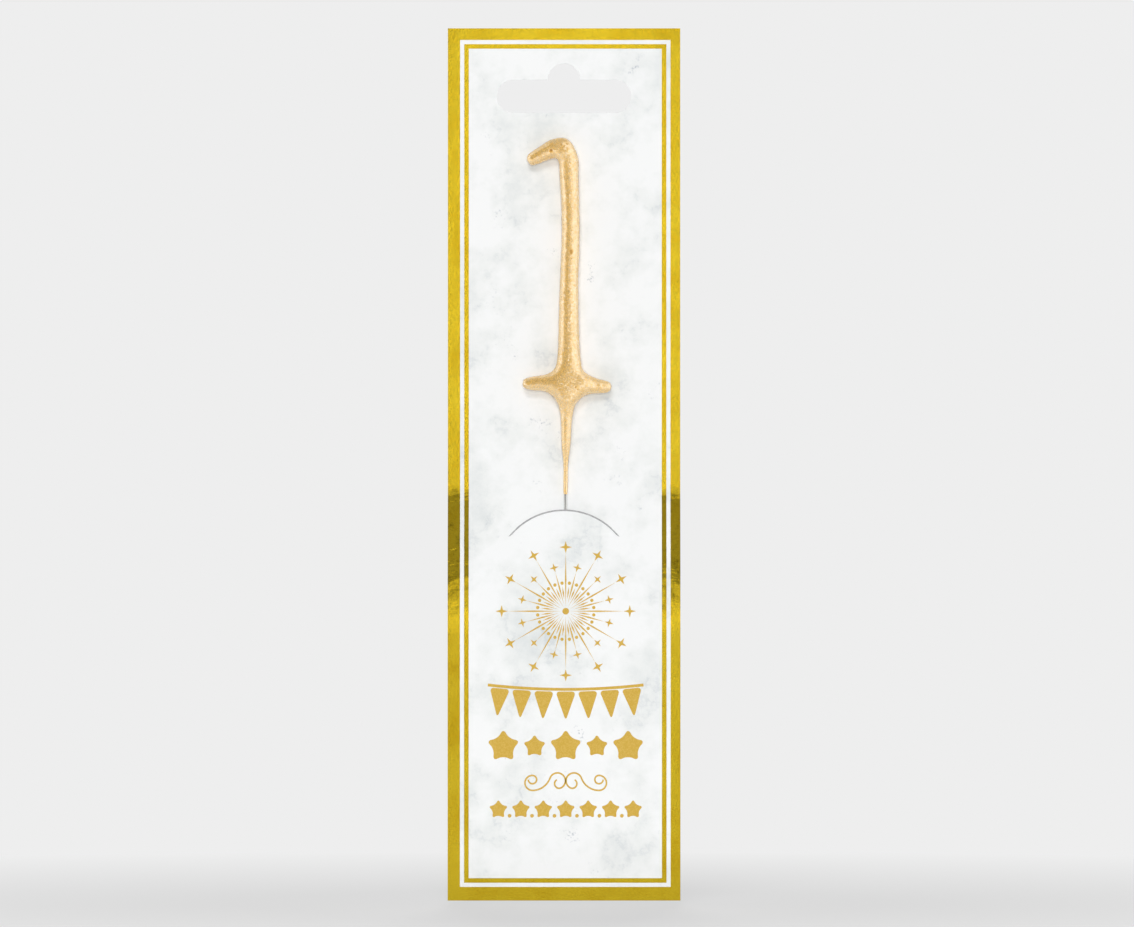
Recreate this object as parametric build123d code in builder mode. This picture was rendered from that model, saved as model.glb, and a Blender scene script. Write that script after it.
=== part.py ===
"""A sparkler in the shape of a 1, held on its hanging card by a tuck tab.

Millimetres, +Z up, +X to the right as seen from the front, and the front faces -Y. The origin
is the centre of the hang slot's round crown, in the middle of the board's thickness.
"""

import os
from math import atan2, cos, degrees, pi, sin, tan

from build123d import *

# Backing card
CARD_WIDTH = 56.0
CARD_HEIGHT = 210.0
BOARD_THICKNESS = 0.4
# card top to the hang slot's straight upper edge
SLOT_DROP = 12.4
SLOT_LENGTH = 32.4
SLOT_HEIGHT = 8.0
CROWN_RADIUS = 3.9

# Curved slit and its tuck tab
SLIT_CHORD = 26.9
SLIT_RISE = 6.5
KERF = 0.1
# room between the tab's folded edge and the board that it turns on
CREASE_GAP = 0.05
# flat board above and below the slit, before the bends begin
SLANT_LEAD = 0.5
UPPER_BEND_RADIUS = 30.0
LOWER_BEND_RADIUS = 110.0

# Gold foil borders, a little off centre as the card was printed
FOIL_THICKNESS = 0.1
BORDER_SIDE_WIDTH = 2.65
BORDER_END_WIDTH = 3.05
BORDER_GAP = 1.0
INNER_LINE_WIDTH = 1.1
PRINT_SHIFT_RIGHT = 0.3
PRINT_SHIFT_UP = 0.24

# Steel wires
WIRE_DIAMETER = 0.8
WIRE_CLEARANCE = 0.1
WELD_GAP = 0.02
SPARKLER_LENGTH = 165.0
SPARKLER_OFFSET = 0.35
# the wire is set forward above the coat's end, to lay the numeral on the card
SET_START = 1.8
SET_LENGTH = 16.0
SET_BEND_RADIUS = 40.0
SHOULDER_BEND_RADIUS = 10.0
ELBOW_BEND_RADIUS = 1.6
FLAG_BEND_RADIUS = 3.0
WIRE_END_COVER = 1.3

# Dipped composition: drops below the hang slot's crown, the numeral's top, then the foot's axis
NUMERAL_DROP = 14.1
FOOT_DROP = 59.3
COAT_REACH = 27.1
BARE_WIRE = 3.2
NUMERAL_GAP = 0.3
STEM_DIAMETER = 4.2
STEM_LEAN_LOW = 0.8
STEM_LEAN_LOW_RISE = 12.0
STEM_LEAN_HIGH = 1.25
STEM_LEAN_HIGH_RISE = 37.0
SHOULDER_DROP = 6.4
SHOULDER_OFFSET = 0.8
SHOULDER_DIAMETER = 4.5
ELBOW_DIAMETER = 4.6
ELBOW_OFFSET = 0.1
FLAG_ROOT_DIAMETER = 4.2
FLAG_BROW_LENGTH = 3.9
FLAG_BROW_DIAMETER = 4.5
FLAG_REACH = 9.3
FLAG_TIP_DROP = 2.9
FLAG_TIP_DIAMETER = 2.6
FOOT_LEFT_REACH = 10.4
FOOT_LEFT_RISE = 0.25
FOOT_RIGHT_REACH = 11.0
FOOT_RIGHT_DROP = 0.7
ARM_END_DIAMETER = 2.6
ARM_MIDDLE_HEIGHT = 3.8
ARM_MIDDLE_DEPTH = 3.8
ARM_LEFT_MIDDLE_REACH = 5.2
ARM_RIGHT_MIDDLE_REACH = 6.4
HUB_HEIGHT = 6.9
HUB_DEPTH = 5.2
HUB_LEFT_REACH = 2.7
HUB_RIGHT_REACH = 3.4
STEM_FOOT_DIAMETER = 4.9
FLARE_RISE = 4.6
FLARE_WIDTH = 6.2
NECK_FLARE_DROP = 3.6
NECK_FLARE_WIDTH = 5.5
NECK_DROP = 6.6
NECK_DIAMETER = 2.9
NECK_TAPER_DROP = 14.5
NECK_TAPER_DIAMETER = 2.0
COAT_DROP = 17.6
COAT_WALL = 0.22
COAT_END_WALL = 0.1
ROUND_END_STEPS = 4

os.makedirs("parts", exist_ok=True)

# Heights down the card, from the origin
card_top = SLOT_DROP
card_bottom = SLOT_DROP - CARD_HEIGHT
card_middle = (card_top + card_bottom) / 2
numeral_top = -NUMERAL_DROP
elbow_height = numeral_top - ELBOW_DIAMETER / 2
foot_height = numeral_top - FOOT_DROP
coat_end = foot_height - COAT_REACH
slit_crown = coat_end - BARE_WIRE
slit_chord_height = slit_crown - SLIT_RISE
tail_end = numeral_top - SPARKLER_LENGTH

# The board leans just enough, over the slit, to let the wire pass from its front to its back
pass_depth = WIRE_DIAMETER + BOARD_THICKNESS + 2 * WIRE_CLEARANCE
slope = atan2(pass_depth, SLIT_RISE)
slant_height = SLIT_RISE + 2 * SLANT_LEAD
upper_bend_height = slit_crown + SLANT_LEAD + UPPER_BEND_RADIUS * sin(slope)
tail_y = -slant_height / 2 * tan(slope) - UPPER_BEND_RADIUS * (1 - cos(slope))
lower_panel_y = tail_y - slant_height / 2 * tan(slope) - LOWER_BEND_RADIUS * (1 - cos(slope))
thickest_crust = max(HUB_DEPTH, STEM_FOOT_DIAMETER, SHOULDER_DIAMETER, ELBOW_DIAMETER, FLAG_BROW_DIAMETER)
numeral_y = -BOARD_THICKNESS / 2 - NUMERAL_GAP - thickest_crust / 2
foot_wire_y = numeral_y + WIRE_DIAMETER + WELD_GAP


def side_line(forward):
    """The card's side view, drawn downwards, a distance forward of the board's middle."""
    upright = Line((-forward, card_top), (-forward, upper_bend_height))
    upper = JernArc(upright @ 1, upright % 1, UPPER_BEND_RADIUS - forward, -degrees(slope))
    slant = Line(upper @ 1, upper @ 1 + (upper % 1) * (slant_height / cos(slope)))
    lower = JernArc(slant @ 1, slant % 1, LOWER_BEND_RADIUS + forward, degrees(slope))
    Line(lower @ 1, ((lower @ 1).X, card_bottom))


# Backing card: one strip of board, bent back and forth where the wire passes through it
with BuildPart() as backing_card:
    with BuildSketch(Plane.YZ):
        with BuildLine():
            side_line(0)
        trace(line_width=BOARD_THICKNESS)
    extrude(amount=CARD_WIDTH / 2, both=True)
    with BuildSketch(Plane.XZ):
        with Locations((0, -SLOT_HEIGHT / 2)):
            SlotOverall(SLOT_LENGTH, SLOT_HEIGHT)
        Circle(CROWN_RADIUS)
    extrude(amount=BOARD_THICKNESS, both=True, mode=Mode.SUBTRACT)
    with BuildSketch(Plane.XZ.offset(-tail_y)):
        with BuildLine():
            ThreePointArc(
                (-SLIT_CHORD / 2, slit_chord_height), (0, slit_crown), (SLIT_CHORD / 2, slit_chord_height)
            )
            Line((SLIT_CHORD / 2, slit_chord_height), (-SLIT_CHORD / 2, slit_chord_height))
        make_face()
    extrude(amount=pass_depth + BOARD_THICKNESS, both=True, mode=Mode.SUBTRACT)
backing_card.part.label = "backing_card"
export_step(backing_card.part, "parts/backing_card.step")

# Tuck tab: the flap inside the slit, upright in front of the wire and folded along its chord
tab_y = tail_y - pass_depth / 2
tab_rise = SLIT_RISE / cos(slope) - KERF
# its two ends stand back from the slit's, so that the board's thickness clears them as it turns
tab_half_chord = SLIT_CHORD / 2 - KERF - BOARD_THICKNESS
tab_bottom = slit_chord_height + CREASE_GAP
with BuildPart() as tuck_tab:
    with BuildSketch(Plane.XZ.offset(-tab_y)):
        with BuildLine():
            ThreePointArc(
                (-tab_half_chord, tab_bottom), (0, slit_chord_height + tab_rise), (tab_half_chord, tab_bottom)
            )
            Line((tab_half_chord, tab_bottom), (-tab_half_chord, tab_bottom))
        make_face()
    extrude(amount=BOARD_THICKNESS / 2, both=True)
tuck_tab.part.label = "tuck_tab"
export_step(tuck_tab.part, "parts/tuck_tab.step")

# Gold foil: two frames pressed onto the card's front, which follow its bends
frame_width = CARD_WIDTH - 2 * BORDER_SIDE_WIDTH
frame_height = CARD_HEIGHT - 2 * BORDER_END_WIDTH
foil_forward = (BOARD_THICKNESS + FOIL_THICKNESS) / 2
foil_depth = BOARD_THICKNESS + FOIL_THICKNESS - lower_panel_y
with BuildPart() as outer_foil_border:
    with BuildSketch(Plane.YZ):
        with BuildLine():
            side_line(foil_forward)
        trace(line_width=FOIL_THICKNESS)
    extrude(amount=CARD_WIDTH / 2, both=True)
    with BuildSketch(Plane.XZ):
        with Locations((PRINT_SHIFT_RIGHT, card_middle + PRINT_SHIFT_UP)):
            Rectangle(frame_width, frame_height)
    extrude(amount=foil_depth, both=True, mode=Mode.SUBTRACT)
outer_foil_border.part.label = "outer_foil_border"
export_step(outer_foil_border.part, "parts/outer_foil_border.step")

line_outer = (frame_width - 2 * BORDER_GAP, frame_height - 2 * BORDER_GAP)
line_inner = (line_outer[0] - 2 * INNER_LINE_WIDTH, line_outer[1] - 2 * INNER_LINE_WIDTH)
with BuildPart() as inner_foil_border:
    with BuildSketch(Plane.YZ):
        with BuildLine():
            side_line(foil_forward)
        trace(line_width=FOIL_THICKNESS)
    extrude(amount=CARD_WIDTH / 2, both=True)
    with BuildSketch(Plane.XZ):
        with Locations((PRINT_SHIFT_RIGHT, card_middle + PRINT_SHIFT_UP)):
            Rectangle(*line_outer)
            Rectangle(*line_inner, mode=Mode.SUBTRACT)
    extrude(amount=foil_depth, both=True, mode=Mode.INTERSECT)
inner_foil_border.part.label = "inner_foil_border"
export_step(inner_foil_border.part, "parts/inner_foil_border.step")

# Core wire: straight tail, set forward to lay the numeral on the card, up the stem and into the flag
set_bottom = coat_end + SET_START
elbow_x = SPARKLER_OFFSET + ELBOW_OFFSET
brow_x = elbow_x - FLAG_BROW_LENGTH
flag_tip_x = elbow_x - FLAG_REACH
flag_tip_height = elbow_height - FLAG_TIP_DROP
stem_route = [
    Vector(SPARKLER_OFFSET, tail_y, tail_end),
    Vector(SPARKLER_OFFSET, tail_y, set_bottom),
    Vector(SPARKLER_OFFSET, numeral_y, set_bottom + SET_LENGTH),
    Vector(SPARKLER_OFFSET + STEM_LEAN_LOW, numeral_y, foot_height + STEM_LEAN_LOW_RISE),
    Vector(SPARKLER_OFFSET + STEM_LEAN_HIGH, numeral_y, foot_height + STEM_LEAN_HIGH_RISE),
    Vector(SPARKLER_OFFSET + SHOULDER_OFFSET, numeral_y, numeral_top - SHOULDER_DROP),
    Vector(elbow_x, numeral_y, elbow_height),
]
flag_route = [
    Vector(brow_x, numeral_y, elbow_height),
    Vector(flag_tip_x + WIRE_END_COVER, numeral_y, flag_tip_height),
]
set_radii = [SET_BEND_RADIUS] * 4
with BuildPart() as core_wire:
    with BuildLine():
        FilletPolyline(
            *stem_route,
            *flag_route,
            radius=[*set_radii, SHOULDER_BEND_RADIUS, ELBOW_BEND_RADIUS, FLAG_BEND_RADIUS],
        )
    with BuildSketch(Plane(stem_route[0])):
        Circle(WIRE_DIAMETER / 2)
    sweep()
core_wire.part.label = "core_wire"
export_step(core_wire.part, "parts/core_wire.step")

# Foot wire: welded across the back of the core wire to carry the foot's two arms
foot_left = Vector(SPARKLER_OFFSET - FOOT_LEFT_REACH, foot_wire_y, foot_height + FOOT_LEFT_RISE)
foot_right = Vector(SPARKLER_OFFSET + FOOT_RIGHT_REACH, foot_wire_y, foot_height - FOOT_RIGHT_DROP)
along_foot = (foot_right - foot_left).normalized()
with BuildPart() as foot_wire:
    with BuildLine():
        Line(foot_left + along_foot * WIRE_END_COVER, foot_right - along_foot * WIRE_END_COVER)
    with BuildSketch(Plane(foot_left + along_foot * WIRE_END_COVER, z_dir=along_foot)):
        Circle(WIRE_DIAMETER / 2)
    sweep()
foot_wire.part.label = "foot_wire"
export_step(foot_wire.part, "parts/foot_wire.step")


def stem_section(height, width, depth):
    """A section of crust round the core wire's upright route."""
    for low, high in zip(stem_route, stem_route[1:]):
        if low.Z <= height <= high.Z:
            share = (height - low.Z) / (high.Z - low.Z)
            return (low + (high - low) * share, width, depth)


def rounded_end(centre, outward, diameter):
    """Sections of the half ball that closes a run of crust, from its tip inwards."""
    angles = [pi / 2 * step / (ROUND_END_STEPS + 0.5) for step in range(ROUND_END_STEPS, 0, -1)]
    return [
        (centre + outward * (diameter / 2 * sin(angle)), diameter * cos(angle), diameter * cos(angle))
        for angle in angles
    ]


# Spark composition: the dipped crust, which flares where the runs of wire meet and thins down the tail
elbow = stem_route[-1]
coat_diameter = WIRE_DIAMETER + 2 * COAT_WALL
coat_end_diameter = WIRE_DIAMETER + 2 * COAT_END_WALL
stem_sections = [
    *rounded_end(elbow, Vector(0, 0, 1), ELBOW_DIAMETER),
    (elbow, ELBOW_DIAMETER, ELBOW_DIAMETER),
    stem_section(numeral_top - SHOULDER_DROP, SHOULDER_DIAMETER, SHOULDER_DIAMETER),
    stem_section(foot_height + STEM_LEAN_HIGH_RISE, STEM_DIAMETER, STEM_DIAMETER),
    stem_section(foot_height + STEM_LEAN_LOW_RISE, STEM_FOOT_DIAMETER, STEM_FOOT_DIAMETER),
    stem_section(foot_height + FLARE_RISE, FLARE_WIDTH, STEM_FOOT_DIAMETER),
    stem_section(foot_height - NECK_FLARE_DROP, NECK_FLARE_WIDTH, STEM_FOOT_DIAMETER),
    stem_section(foot_height - NECK_DROP, NECK_DIAMETER, NECK_DIAMETER),
    stem_section(foot_height - NECK_TAPER_DROP, NECK_TAPER_DIAMETER, NECK_TAPER_DIAMETER),
    stem_section(foot_height - COAT_DROP, coat_diameter, coat_diameter),
    stem_section(set_bottom, coat_diameter, coat_diameter),
    stem_section(coat_end, coat_end_diameter, coat_end_diameter),
]
arm_left_end = foot_left + along_foot * (ARM_END_DIAMETER / 2)
arm_right_end = foot_right - along_foot * (ARM_END_DIAMETER / 2)
hub_left = Vector(SPARKLER_OFFSET - HUB_LEFT_REACH, numeral_y, foot_height)
hub_right = Vector(SPARKLER_OFFSET + HUB_RIGHT_REACH, numeral_y, foot_height)
arm_y = (numeral_y + foot_wire_y) / 2
arm_left_middle = Vector(SPARKLER_OFFSET - ARM_LEFT_MIDDLE_REACH, arm_y, foot_left.Z)
arm_right_middle = Vector(SPARKLER_OFFSET + ARM_RIGHT_MIDDLE_REACH, arm_y, foot_right.Z)
arm_sections = [
    *rounded_end(arm_left_end, Vector(-1, 0, 0), ARM_END_DIAMETER),
    (arm_left_end, ARM_END_DIAMETER, ARM_END_DIAMETER),
    (arm_left_middle, ARM_MIDDLE_DEPTH, ARM_MIDDLE_HEIGHT),
    (hub_left, HUB_DEPTH, HUB_HEIGHT),
    (hub_right, HUB_DEPTH, HUB_HEIGHT),
    (arm_right_middle, ARM_MIDDLE_DEPTH, ARM_MIDDLE_HEIGHT),
    (arm_right_end, ARM_END_DIAMETER, ARM_END_DIAMETER),
    *reversed(rounded_end(arm_right_end, Vector(1, 0, 0), ARM_END_DIAMETER)),
]
flag_tip = Vector(flag_tip_x + FLAG_TIP_DIAMETER / 2, numeral_y, flag_tip_height)
flag_sections = [
    *rounded_end(flag_tip, Vector(-1, 0, 0), FLAG_TIP_DIAMETER),
    (flag_tip, FLAG_TIP_DIAMETER, FLAG_TIP_DIAMETER),
    (Vector(brow_x, numeral_y, elbow_height), FLAG_BROW_DIAMETER, FLAG_BROW_DIAMETER),
    (elbow, FLAG_ROOT_DIAMETER, FLAG_ROOT_DIAMETER),
]
with BuildPart() as spark_composition:
    for centre, width, depth in stem_sections:
        with BuildSketch(Plane(centre)):
            Ellipse(width / 2, depth / 2)
    loft(ruled=True)
    for sections in (arm_sections, flag_sections):
        for centre, depth, height in sections:
            with BuildSketch(Plane(centre, x_dir=(0, 1, 0), z_dir=(1, 0, 0))):
                Ellipse(depth / 2, height / 2)
        loft(ruled=True)
    add(core_wire.part, mode=Mode.SUBTRACT)
    add(foot_wire.part, mode=Mode.SUBTRACT)
spark_composition.part.label = "spark_composition"
export_step(spark_composition.part, "parts/spark_composition.step")
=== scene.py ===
"""Looks of a sparkler in the shape of a 1, held on its hanging card by a tuck tab.

Metres, in the frame of the CAD model: +Z up the card, +X to the right as seen from the front, and
the front faces -Y. The origin is the centre of the hang slot's round crown.
"""

import math

import bmesh
import bpy
from mathutils import Matrix, Vector, noise


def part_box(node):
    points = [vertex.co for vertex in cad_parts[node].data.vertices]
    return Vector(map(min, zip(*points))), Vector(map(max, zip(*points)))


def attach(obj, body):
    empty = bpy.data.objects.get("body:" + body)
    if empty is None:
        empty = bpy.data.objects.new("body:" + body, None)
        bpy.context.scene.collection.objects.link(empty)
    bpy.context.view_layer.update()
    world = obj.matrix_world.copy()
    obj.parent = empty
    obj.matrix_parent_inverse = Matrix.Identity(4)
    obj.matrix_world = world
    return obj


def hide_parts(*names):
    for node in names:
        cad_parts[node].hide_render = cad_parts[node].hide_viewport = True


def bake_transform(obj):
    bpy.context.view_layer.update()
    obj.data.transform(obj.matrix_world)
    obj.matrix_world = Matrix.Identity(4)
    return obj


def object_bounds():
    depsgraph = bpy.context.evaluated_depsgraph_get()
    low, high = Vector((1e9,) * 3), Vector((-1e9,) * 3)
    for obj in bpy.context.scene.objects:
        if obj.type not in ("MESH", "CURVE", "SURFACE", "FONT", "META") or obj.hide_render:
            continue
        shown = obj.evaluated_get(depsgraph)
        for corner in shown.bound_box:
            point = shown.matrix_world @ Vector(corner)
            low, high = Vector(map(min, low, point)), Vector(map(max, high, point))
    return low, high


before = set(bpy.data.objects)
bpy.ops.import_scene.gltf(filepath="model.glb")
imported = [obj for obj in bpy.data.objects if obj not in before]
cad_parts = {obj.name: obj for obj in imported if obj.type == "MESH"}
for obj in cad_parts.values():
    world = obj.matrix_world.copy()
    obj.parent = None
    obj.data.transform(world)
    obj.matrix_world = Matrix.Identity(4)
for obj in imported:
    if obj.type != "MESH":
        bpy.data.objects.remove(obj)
cad_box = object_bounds()

# Backing card
# A tall strip of white coated board, printed with a pale grey marble and die cut with its hang slot
# and curved slit. It hangs from the slot, and leans where the sparkler's wire passes through it.
MM = 0.001
BOARD_THICKNESS = 0.4 * MM
SLOT_LENGTH = 32.4 * MM
SLOT_HEIGHT = 8.0 * MM
CROWN_RADIUS = 3.9 * MM
SLIT_CROWN = -103.7 * MM
SLIT_RISE = 6.5 * MM
SLIT_CHORD = 26.9 * MM
PASS_DEPTH = 1.4 * MM
SLANT_LEAD = 0.5 * MM
UPPER_BEND_RADIUS = 30.0 * MM
LOWER_BEND_RADIUS = 110.0 * MM
UPPER_BEND_ROWS = 28
LOWER_BEND_ROWS = 64
ARC_STEPS = 32

slope = math.atan2(PASS_DEPTH, SLIT_RISE)
slit_chord_height = SLIT_CROWN - SLIT_RISE
slant_top = SLIT_CROWN + SLANT_LEAD
slant_bottom = slit_chord_height - SLANT_LEAD
bend_top = slant_top + UPPER_BEND_RADIUS * math.sin(slope)
bend_bottom = slant_bottom - LOWER_BEND_RADIUS * math.sin(slope)
slant_top_y = -UPPER_BEND_RADIUS * (1 - math.cos(slope))
slant_bottom_y = slant_top_y - (slant_top - slant_bottom) * math.tan(slope)
lower_panel_y = slant_bottom_y - LOWER_BEND_RADIUS * (1 - math.cos(slope))
bend_rows = [bend_top + (slant_top - bend_top) * row / UPPER_BEND_ROWS for row in range(UPPER_BEND_ROWS + 1)]
bend_rows += [
    slant_bottom + (bend_bottom - slant_bottom) * row / LOWER_BEND_ROWS for row in range(LOWER_BEND_ROWS + 1)
]


def sheet_y(height, forward):
    """Where a layer lies at a height on the card, a distance forward of the board's middle."""
    upper = (bend_top - height) / (UPPER_BEND_RADIUS - forward)
    lower = (height - bend_bottom) / (LOWER_BEND_RADIUS + forward)
    if upper <= 0:
        return -forward
    if lower <= 0:
        return lower_panel_y - forward
    if upper < math.sin(slope):
        return (UPPER_BEND_RADIUS - forward) * math.sqrt(1 - upper**2) - UPPER_BEND_RADIUS
    if lower < math.sin(slope):
        return lower_panel_y + LOWER_BEND_RADIUS - (LOWER_BEND_RADIUS + forward) * math.sqrt(1 - lower**2)
    return slant_top_y - (slant_top - height) * math.tan(slope) - forward / math.cos(slope)


def pen_down(bm, x, z):
    """Sets a pen on flat work, at a first point in the card's front view."""
    return bm.verts.new((x, 0, z))


def line_to(bm, pen, x, z):
    """Draws a straight line from the pen to a point."""
    pen = bmesh.ops.extrude_vert_indiv(bm, verts=[pen])["verts"][0]
    pen.co = (x, 0, z)
    return pen


def arc_about(bm, pen, x, z, degrees, steps=ARC_STEPS):
    """Draws an arc from the pen about a centre, clockwise as seen from the front."""
    spun = bmesh.ops.spin(
        bm, geom=[pen], cent=(x, 0, z), axis=(0, 1, 0), angle=math.radians(degrees), steps=steps
    )
    return spun["geom_last"][0]


def rectangle(bm, left, bottom, right, top):
    """Draws a closed rectangle."""
    pen = pen_down(bm, left, bottom)
    for x, z in ((left, top), (right, top), (right, bottom), (left, bottom)):
        pen = line_to(bm, pen, x, z)


def fill_flat(bm):
    """Closes the drawn lines and fills the sheet between them, face to the front."""
    bmesh.ops.remove_doubles(bm, verts=bm.verts, dist=0.001 * MM)
    bmesh.ops.triangle_fill(bm, use_beauty=True, edges=bm.edges, normal=(0, -1, 0))
    backwards = [face for face in bm.faces if face.normal.y > 0]
    bmesh.ops.reverse_faces(bm, faces=backwards)


def lay_on_card(bm, forward, thickness):
    """Cuts flat work at the card's bends, lays its face on the card and gives it its thickness."""
    for height in bend_rows:
        bmesh.ops.bisect_plane(
            bm, geom=bm.verts[:] + bm.edges[:] + bm.faces[:], plane_co=(0, 0, height), plane_no=(0, 0, 1)
        )
    for vertex in bm.verts:
        vertex.co.y = sheet_y(vertex.co.z, forward)
    bm.normal_update()
    bmesh.ops.solidify(bm, geom=bm.faces[:], thickness=thickness)


def finished(bm, name, materials, sharp_degrees=30):
    """Makes a smooth-shaded object of a modelled piece, with the edges of its walls kept sharp."""
    mesh = bpy.data.meshes.new(name)
    bm.normal_update()
    bm.to_mesh(mesh)
    bm.free()
    mesh.shade_smooth()
    mesh.set_sharp_from_angle(angle=math.radians(sharp_degrees))
    for material in materials:
        mesh.materials.append(material)
    piece = bpy.data.objects.new(name, mesh)
    bpy.context.scene.collection.objects.link(piece)
    return piece


def linear(hex_colour):
    """A linear colour from an sRGB hex value."""
    shares = [int(hex_colour[place:place + 2], 16) / 255 for place in (1, 3, 5)]
    return [*(s / 12.92 if s <= 0.04045 else ((s + 0.055) / 1.055) ** 2.4 for s in shares), 1]


def add(tree, kind, sockets=(), **settings):
    """Adds a node with its settings, and sets or links its input sockets."""
    node = tree.nodes.new(kind)
    for name, value in settings.items():
        setattr(node, name, value)
    for name, value in dict(sockets).items():
        if isinstance(value, bpy.types.NodeSocket):
            tree.links.new(value, node.inputs[name])
        else:
            node.inputs[name].default_value = value
    return node


def new_material(name):
    """A bare node material: its tree, object coordinates and output."""
    material = bpy.data.materials.new(name)
    material.use_nodes = True
    tree = material.node_tree
    tree.nodes.clear()
    place = add(tree, "ShaderNodeTexCoord").outputs["Object"]
    return material, tree, place


def ramp(tree, factor, *stops):
    """Adds a colour ramp through (place, hex colour) stops."""
    node = add(tree, "ShaderNodeValToRGB", {"Fac": factor})
    elements = node.color_ramp.elements
    while len(elements) < len(stops):
        elements.new(1)
    for element, (position, colour) in zip(elements, stops):
        element.position = position
        element.color = linear(colour)
    return node.outputs["Color"]


# Clay-coated board, offset printed: a smooth satin white with broad soft grey clouds, faint wide
# veins where the clouds are thick, and a few clusters of small dark specks.
BOARD_WHITE = "#F9FAFA"
CLOUD_PALE = "#F1F3F2"
CLOUD_GREY = "#E1E5E5"
VEIN_GREY = "#D2D7DA"
SPECK_GREY = "#BFC5CB"
CLOUD_SIZE = 16 * MM
VEIN_SIZE = 15 * MM
CLUSTER_SIZE = 10 * MM
SPECK_SIZE = 0.6 * MM
VEIN_HALF_WIDTH = 0.035
VEIN_STRENGTH = 0.6
printed_board, tree, place = new_material("clay_coated_board_marble_print")
clouds = add(
    tree, "ShaderNodeTexNoise",
    {"Vector": place, "Scale": 1 / CLOUD_SIZE, "Detail": 8, "Roughness": 0.66},
)
wander = add(
    tree, "ShaderNodeTexNoise",
    {"Vector": place, "Scale": 1 / VEIN_SIZE, "Detail": 7, "Roughness": 0.66},
)
clusters = add(
    tree, "ShaderNodeTexNoise",
    {"Vector": place, "Scale": 1 / CLUSTER_SIZE, "Detail": 5, "Roughness": 0.65},
)
flecks = add(
    tree, "ShaderNodeTexNoise",
    {"Vector": place, "Scale": 1 / SPECK_SIZE, "Detail": 3, "Roughness": 0.6},
)
cloud_colour = ramp(
    tree, clouds.outputs["Fac"], (0.44, BOARD_WHITE), (0.56, CLOUD_PALE), (0.72, CLOUD_GREY)
)
from_vein = add(tree, "ShaderNodeMath", {0: wander.outputs["Fac"], 1: 0.5}, operation="SUBTRACT")
from_vein = add(tree, "ShaderNodeMath", {0: from_vein.outputs[0]}, operation="ABSOLUTE")
vein = add(
    tree, "ShaderNodeMapRange",
    {
        "Value": from_vein.outputs[0], "From Min": VEIN_HALF_WIDTH, "From Max": 0.0,
        "To Max": VEIN_STRENGTH,
    },
    interpolation_type="SMOOTHSTEP",
)
clouded = add(
    tree, "ShaderNodeMapRange", {"Value": clouds.outputs["Fac"], "From Min": 0.52, "From Max": 0.66}
)
vein_share = add(tree, "ShaderNodeMath", {0: vein.outputs[0], 1: clouded.outputs[0]}, operation="MULTIPLY")
veined = add(
    tree, "ShaderNodeMix", {0: vein_share.outputs[0], 6: cloud_colour, 7: linear(VEIN_GREY)}, data_type="RGBA"
)
fleck = add(tree, "ShaderNodeMapRange", {"Value": flecks.outputs["Fac"], "From Min": 0.54, "From Max": 0.64})
cluster = add(
    tree, "ShaderNodeMapRange", {"Value": clusters.outputs["Fac"], "From Min": 0.62, "From Max": 0.72}
)
fleck_share = add(tree, "ShaderNodeMath", {0: fleck.outputs[0], 1: cluster.outputs[0]}, operation="MULTIPLY")
marble = add(
    tree, "ShaderNodeMix",
    {0: fleck_share.outputs[0], 6: veined.outputs[2], 7: linear(SPECK_GREY)}, data_type="RGBA",
)
relief = add(
    tree, "ShaderNodeBump", {"Height": flecks.outputs["Fac"], "Strength": 0.06, "Distance": 0.02 * MM}
)
shader = add(
    tree, "ShaderNodeBsdfPrincipled",
    {"Base Color": marble.outputs[2], "Roughness": 0.46, "IOR": 1.5, "Normal": relief.outputs["Normal"]},
)
add(tree, "ShaderNodeOutputMaterial", {"Surface": shader.outputs["BSDF"]})

# Uncoated grey pulp under the white lining, as pressed and cut: matt, with short fibres, on the
# back and on the cut edges. Its grey is also set dark enough to stand for shade: on the tuck tab's
# slanted edge it is a painted shadow line along the slit.
PULP_AND_SHADOW_PALE = "#BDBDBE"
PULP_AND_SHADOW_DARK = "#A3A3A6"
FIBRE_LENGTH = 1.6 * MM
pulp_and_slit_shadow, tree, place = new_material("uncoated_pulp_and_slit_shadow")
fibres = add(
    tree, "ShaderNodeTexNoise",
    {"Vector": place, "Scale": 1 / FIBRE_LENGTH, "Detail": 6, "Roughness": 0.7, "Distortion": 2.0},
)
pulp = ramp(tree, fibres.outputs["Fac"], (0.38, PULP_AND_SHADOW_DARK), (0.58, PULP_AND_SHADOW_PALE))
relief = add(
    tree, "ShaderNodeBump", {"Height": fibres.outputs["Fac"], "Strength": 0.25, "Distance": 0.03 * MM}
)
shader = add(
    tree, "ShaderNodeBsdfPrincipled",
    {"Base Color": pulp, "Roughness": 0.85, "IOR": 1.45, "Normal": relief.outputs["Normal"]},
)
add(tree, "ShaderNodeOutputMaterial", {"Surface": shader.outputs["BSDF"]})

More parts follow.
